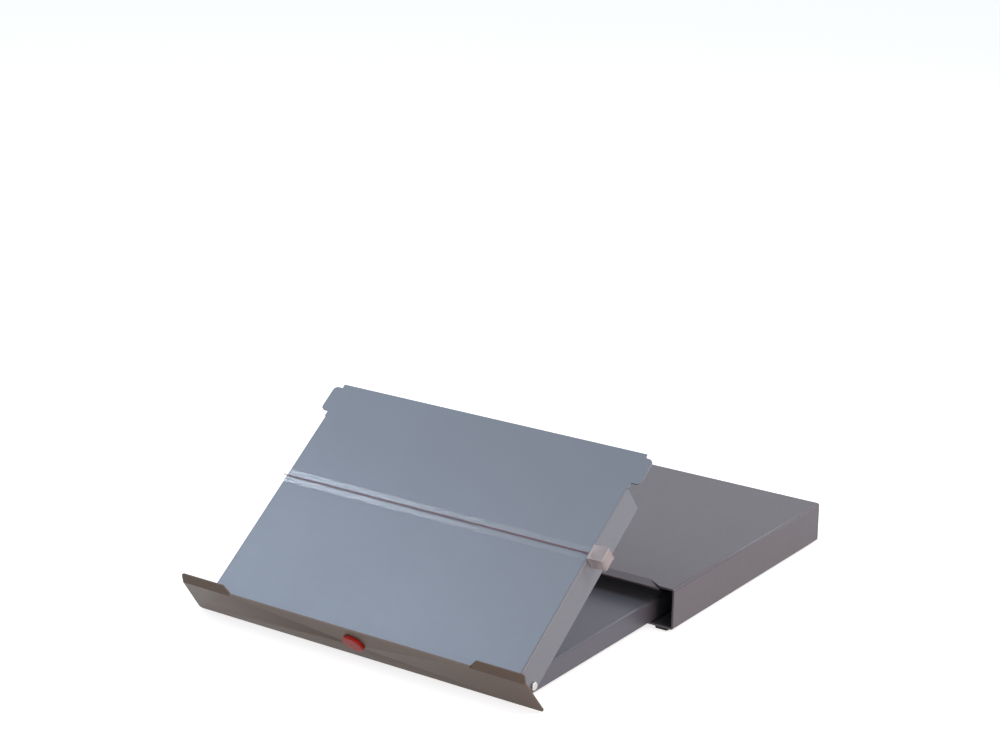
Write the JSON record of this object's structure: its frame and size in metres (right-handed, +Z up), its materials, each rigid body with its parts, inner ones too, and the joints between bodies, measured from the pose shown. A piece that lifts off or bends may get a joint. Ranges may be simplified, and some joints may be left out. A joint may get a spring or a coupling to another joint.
{
  "type": "document holder with drawer",
  "caption": "Low sheet-metal desk stand with a pull-out drawer shelf that carries a tilting document panel, front ledge and sliding line guide.",
  "frame": {"origin": "on the desk, midway between the foremost line of the ledge and the back of the casing, on the plane of left-right symmetry", "axes": "+X to the right, +Y to the back (along the drawer's travel, into the casing), +Z up"},
  "size_m": [0.3824, 0.5112, 0.1713],
  "materials": {
    "casing_paint": "satin silver-grey paint",
    "drawer_paint": "satin silver-grey paint",
    "panel_paint": "satin silver-grey paint",
    "ledge_paint": "satin silver-grey paint",
    "rivet_aluminium": "satin",
    "plated_steel": "zinc plated",
    "prop_steel": "zinc plated",
    "foot_rubber": "matte",
    "glide_plastic": "smooth",
    "black_plastic": "matte",
    "bush_nylon": "matte",
    "red_plastic": "satin",
    "clear_strip": "clear acrylic",
    "clear_block": "clear acrylic",
    "line_print": "printed dark red line",
    "pad_felt": "felt"
  },
  "bodies": {
    "base": {"base_casing": "casing_paint", "rear_panel": "casing_paint", "rear_panel_rivets": "rivet_aluminium", "rubber_feet": "foot_rubber", "glide_strip_left": "glide_plastic", "glide_strip_right": "glide_plastic", "pullout_stop_left": "black_plastic", "pullout_stop_right": "black_plastic"},
    "drawer": {"drawer_shelf": "drawer_paint", "rear_guide_left": "black_plastic", "rear_guide_right": "black_plastic", "rear_guide_rivets": "rivet_aluminium", "hinge_bush_left": "bush_nylon", "hinge_bush_right": "bush_nylon", "prop_bracket_left": "prop_steel", "prop_bracket_right": "prop_steel", "prop_bracket_rivets": "rivet_aluminium", "prop_pivot_pins": "plated_steel"},
    "panel": {"document_panel": "panel_paint", "front_ledge": "ledge_paint", "ledge_studs": "plated_steel", "ledge_nuts": "plated_steel", "pull_disc": "red_plastic", "pull_disc_screw": "plated_steel", "hinge_pin_left": "plated_steel", "hinge_pin_right": "plated_steel", "hinge_clips": "plated_steel", "prop_rail_left": "prop_steel", "prop_rail_right": "prop_steel"},
    "prop": {"prop_arm_left": "prop_steel", "prop_arm_right": "prop_steel", "prop_cross_rod": "plated_steel", "prop_rollers": "bush_nylon"},
    "line_guide": {"guide_strip": "clear_strip", "guide_line": "line_print", "guide_slider": "clear_block", "slider_pad": "pad_felt"}
  },
  "joints": [
    {"name": "drawer_slide", "type": "slide", "parent": "base", "child": "drawer", "axis": [0, 1, 0], "range_m": [-0.0035, 0.085]},
    {"name": "panel_tilt", "type": "hinge", "parent": "drawer", "child": "panel", "pos_m": [0, -0.21366, 0.0132], "axis": [1, 0, 0], "range_deg": [-16.5, 1]},
    {"name": "prop_swing", "type": "hinge", "parent": "drawer", "child": "prop", "pos_m": [0, -0.13567, 0.03], "axis": [1, 0, 0], "range_deg": [-33, 2]},
    {"name": "guide_slide", "type": "slide", "parent": "panel", "child": "line_guide", "axis": [0, 0.8039, 0.5948], "range_m": [-0.105, 0.058]}
  ],
  "couplings": [
    {"joint": "prop_swing", "follows": "panel_tilt", "ratio": 2}
  ]
}
